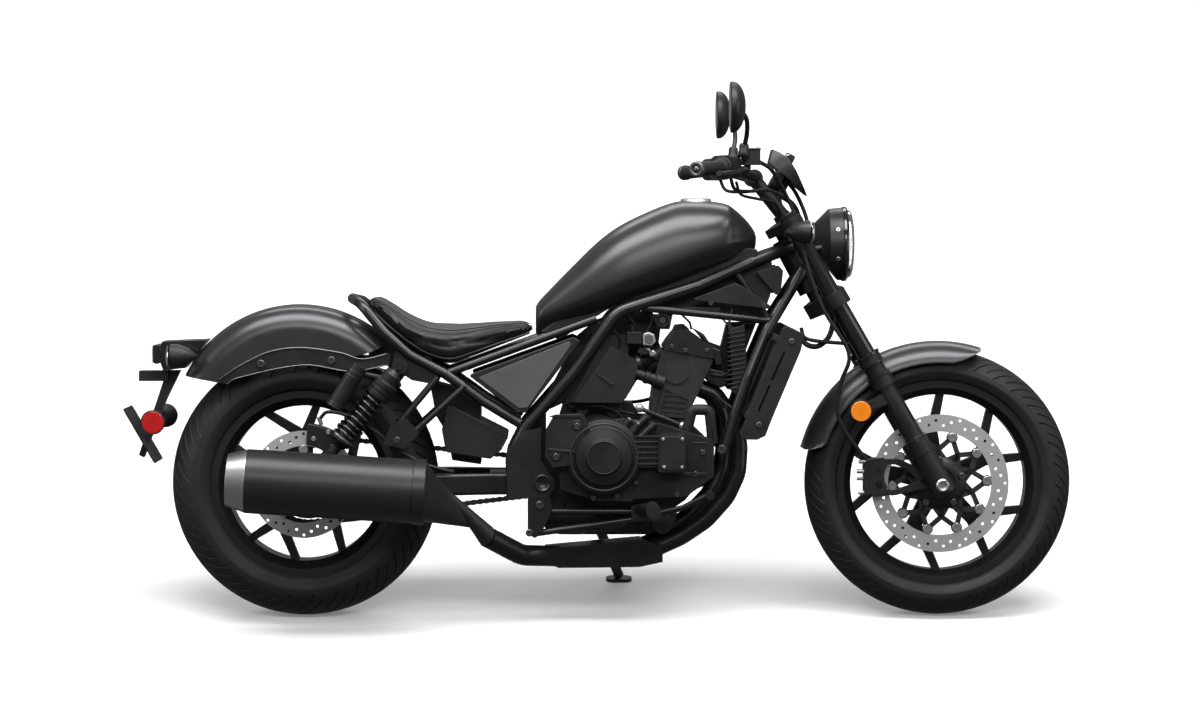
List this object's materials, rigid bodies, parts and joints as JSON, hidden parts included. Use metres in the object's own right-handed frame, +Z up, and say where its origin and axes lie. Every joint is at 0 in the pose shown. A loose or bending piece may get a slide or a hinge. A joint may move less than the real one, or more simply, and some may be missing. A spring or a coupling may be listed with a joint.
{
  "type": "cruiser motorcycle",
  "caption": "Black cruiser motorcycle parked on its side stand, with a parallel twin engine, a round headlight, a side silencer and cast wheels.",
  "frame": {"origin": "centre of the bounding box on the ground plane, with the machine leaning left on its side stand", "axes": "+X forward, +Y to the rider's left, +Z up, ground at Z = 0"},
  "size_m": [2.27, 0.9261, 1.3219],
  "materials": {
    "airbox": "matt black",
    "bar_controls": "matt black",
    "battery_box": "matt black",
    "clutch_actuator": "satin black casting",
    "clutch_cover": "satin black casting",
    "coolant_hoses": "black rubber",
    "cylinder_block": "satin black casting",
    "drive_chain": "oiled steel",
    "engine_cases": "satin black casting",
    "exhaust_headers": "heat-tinted steel",
    "fender_rails": "satin black",
    "foot_controls": "satin black",
    "fork_reflectors": "amber reflector on a black bracket",
    "fork_sliders": "satin black",
    "fork_tubes": "gloss black",
    "fork_yokes": "satin black",
    "frame": "gloss black",
    "frame_covers": "matt black",
    "front_caliper": "satin black",
    "front_disc": "drilled stainless disc",
    "front_fender": "gloss black paint",
    "front_signals": "gloss black with clear lens",
    "front_tyre": "moulded rubber with tread",
    "front_wheel": "satin black cast alloy",
    "fuel_tank": "gloss metallic black",
    "grips": "ribbed rubber",
    "handlebar": "satin black",
    "head_cover": "satin black casting",
    "headlight": "gloss black",
    "headlight_lens": "clear lens",
    "left_covers": "satin black casting",
    "meter": "gloss black",
    "mirrors": "gloss black",
    "muffler": "satin black",
    "muffler_tip": "brushed steel",
    "plate_bracket": "matt black",
    "radiator": "black core",
    "radiator_shrouds": "satin black",
    "rear_caliper": "satin black",
    "rear_disc": "drilled stainless disc",
    "rear_fender": "gloss black paint",
    "rear_reflectors": "red reflector",
    "rear_signals": "gloss black with clear lens",
    "rear_sprocket": "steel",
    "rear_subframe": "gloss black",
    "rear_tyre": "moulded rubber with tread",
    "rear_wheel": "satin black cast alloy",
    "seat": "black vinyl",
    "shock_absorbers": "satin black",
    "shock_springs": "black spring",
    "side_covers": "matt black",
    "side_stand": "black",
    "swingarm": "gloss black",
    "tail_light": "black with red lens"
  },
  "bodies": {
    "chassis": {"airbox": "airbox", "battery_box": "battery_box", "clutch_actuator": "clutch_actuator", "clutch_cover": "clutch_cover", "coolant_hoses": "coolant_hoses", "cylinder_block": "cylinder_block", "drive_chain": "drive_chain", "engine_cases": "engine_cases", "exhaust_headers": "exhaust_headers", "fender_rails": "fender_rails", "foot_controls": "foot_controls", "frame": "frame", "frame_covers": "frame_covers", "fuel_tank": "fuel_tank", "head_cover": "head_cover", "left_covers": "left_covers", "muffler": "muffler", "muffler_tip": "muffler_tip", "plate_bracket": "plate_bracket", "radiator": "radiator", "radiator_shrouds": "radiator_shrouds", "rear_caliper": "rear_caliper", "rear_fender": "rear_fender", "rear_reflectors": "rear_reflectors", "rear_signals": "rear_signals", "rear_subframe": "rear_subframe", "seat": "seat", "shock_absorbers": "shock_absorbers", "shock_springs": "shock_springs", "side_covers": "side_covers", "swingarm": "swingarm", "tail_light": "tail_light"},
    "steering": {"fork_sliders": "fork_sliders", "fork_tubes": "fork_tubes", "fork_yokes": "fork_yokes", "front_fender": "front_fender", "front_caliper": "front_caliper", "handlebar": "handlebar", "grips": "grips", "bar_controls": "bar_controls", "mirrors": "mirrors", "meter": "meter", "headlight": "headlight", "headlight_lens": "headlight_lens", "front_signals": "front_signals", "fork_reflectors": "fork_reflectors"},
    "front_wheel_body": {"front_tyre": "front_tyre", "front_wheel": "front_wheel", "front_disc": "front_disc"},
    "rear_wheel_body": {"rear_tyre": "rear_tyre", "rear_wheel": "rear_wheel", "rear_disc": "rear_disc", "rear_sprocket": "rear_sprocket"},
    "side_stand_body": {"side_stand": "side_stand"}
  },
  "joints": [
    {"name": "steering_turn", "type": "hinge", "parent": "chassis", "child": "steering", "pos_m": [0.60597, -0.09051, 0.59103], "axis": [-0.4695, 0.1685, 0.8667], "range_deg": [-30, 30]},
    {"name": "front_wheel_spin", "type": "hinge", "parent": "steering", "child": "front_wheel_body", "pos_m": [0.815, -0.14394, 0.31618], "axis": [0, 0.9816, -0.1908], "continuous": true},
    {"name": "rear_wheel_spin", "type": "hinge", "parent": "chassis", "child": "rear_wheel_body", "pos_m": [-0.705, -0.14394, 0.31618], "axis": [0, 0.9816, -0.1908], "continuous": true},
    {"name": "side_stand_fold", "type": "hinge", "parent": "chassis", "child": "side_stand_body", "pos_m": [-0.005, 0.00271, 0.17969], "axis": [0.1582, 0.8713, 0.4646], "range_deg": [0, 106.6]}
  ]
}
